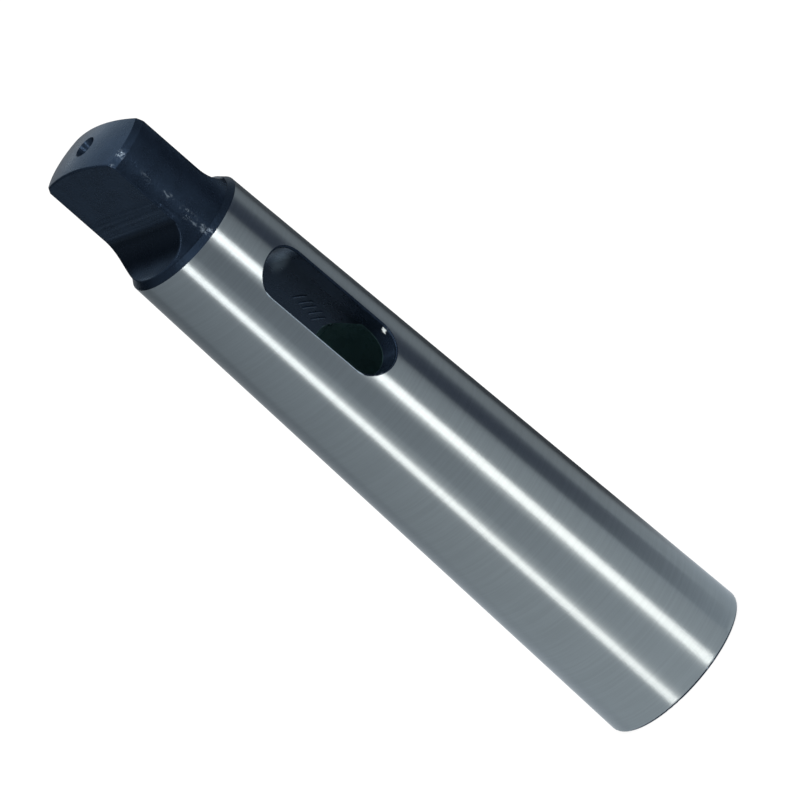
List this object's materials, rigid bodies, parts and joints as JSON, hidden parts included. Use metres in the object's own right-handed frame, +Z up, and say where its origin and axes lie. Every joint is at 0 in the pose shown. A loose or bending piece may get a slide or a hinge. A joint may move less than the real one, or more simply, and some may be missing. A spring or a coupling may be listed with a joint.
{
  "type": "morse taper sleeve",
  "caption": "Reducing sleeve with a ground outer taper, a smaller tapered socket, a drift slot and a black flat-sided tang with a domed tip.",
  "frame": {"origin": "centre of the big end's flat face, at the mouth of the socket, on which the sleeve stands", "axes": "+Z up the axis from the socket's mouth to the tip of the tang; the drift slot goes through along Y, the tang is wide along Y and its two flats face along X"},
  "size_m": [0.0248, 0.0248, 0.1139],
  "materials": {
    "ground_steel": "ground bright on the outer taper, black oxide on the tang, slot and tip"
  },
  "bodies": {
    "root": {"sleeve": "ground_steel"}
  },
  "joints": []
}
